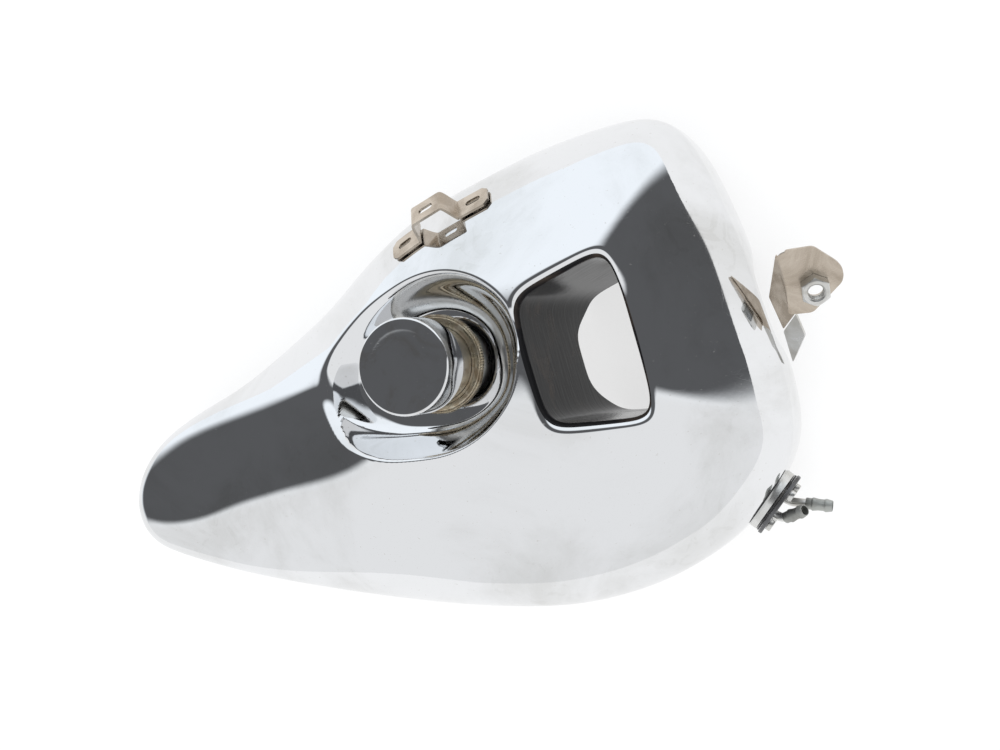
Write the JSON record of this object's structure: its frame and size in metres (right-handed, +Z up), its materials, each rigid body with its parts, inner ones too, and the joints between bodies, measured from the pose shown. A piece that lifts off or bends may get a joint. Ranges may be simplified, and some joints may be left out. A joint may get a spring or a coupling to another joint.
{
  "type": "fuel tank",
  "caption": "Chromed teardrop motorcycle fuel tank with a recessed screw cap, a through-opening, mounting brackets and twin hose tails.",
  "frame": {"origin": "centre of the overall plan box, on the plane the tank's bottom rim stands on", "axes": "+X from the tail towards the broad front, +Y towards the rider's left, +Z up along the filler axis"},
  "size_m": [0.6098, 0.331, 0.172],
  "materials": {
    "chrome": "polished",
    "weld_steel": "heat tinted",
    "plated_steel": "plated",
    "raw_steel": "bare",
    "dark_metal": "satin",
    "bracket_nickel": "nickel plated",
    "cast_barb": "cast",
    "black_rubber": "matte",
    "brass": "turned"
  },
  "bodies": {
    "tank": {"tank_shell": "chrome", "hole_sleeve": "dark_metal", "bottom_pan": "chrome", "filler_flange": "weld_steel", "filler_neck": "plated_steel", "hat_bracket": "bracket_nickel", "front_tab": "bracket_nickel", "front_riser": "bracket_nickel", "front_doubler": "plated_steel", "weld_nut": "plated_steel", "outlet_bung": "plated_steel", "outlet_gasket": "black_rubber", "outlet_flange": "dark_metal", "outlet_bolt_1": "plated_steel", "outlet_bolt_2": "plated_steel", "outlet_bolt_3": "plated_steel", "outlet_bolt_4": "plated_steel", "supply_tube": "plated_steel", "supply_barb": "cast_barb", "return_tube": "plated_steel", "return_barb": "cast_barb", "pickup_pipe": "plated_steel", "pickup_strainer": "brass", "return_pipe": "plated_steel", "left_baffle": "raw_steel", "right_baffle": "raw_steel", "vent_pipe": "plated_steel", "rear_lug": "plated_steel", "rear_bush": "black_rubber"},
    "cap_lift": {"cap_gasket": "black_rubber"},
    "cap": {"cap_shell": "chrome", "cap_insert": "dark_metal", "vent_seat": "brass", "vent_spring": "plated_steel", "vent_retainer": "brass"},
    "vent": {"vent_plunger": "brass"}
  },
  "joints": [
    {"name": "cap_rise", "type": "slide", "parent": "tank", "child": "cap_lift", "axis": [0, 0, 1], "range_m": [0, 0.0121]},
    {"name": "cap_turn", "type": "hinge", "parent": "cap_lift", "child": "cap", "pos_m": [0.00807, 0.03486, 0.15], "axis": [0, 0, 1], "range_deg": [0, 864]},
    {"name": "vent_lift", "type": "slide", "parent": "cap", "child": "vent", "axis": [0, 0, 1], "range_m": [0, 0.002], "deforming": ["vent_spring"]}
  ],
  "couplings": [
    {"joint": "cap_rise", "follows": "cap_turn", "m_per_rad": 0.00079577}
  ]
}
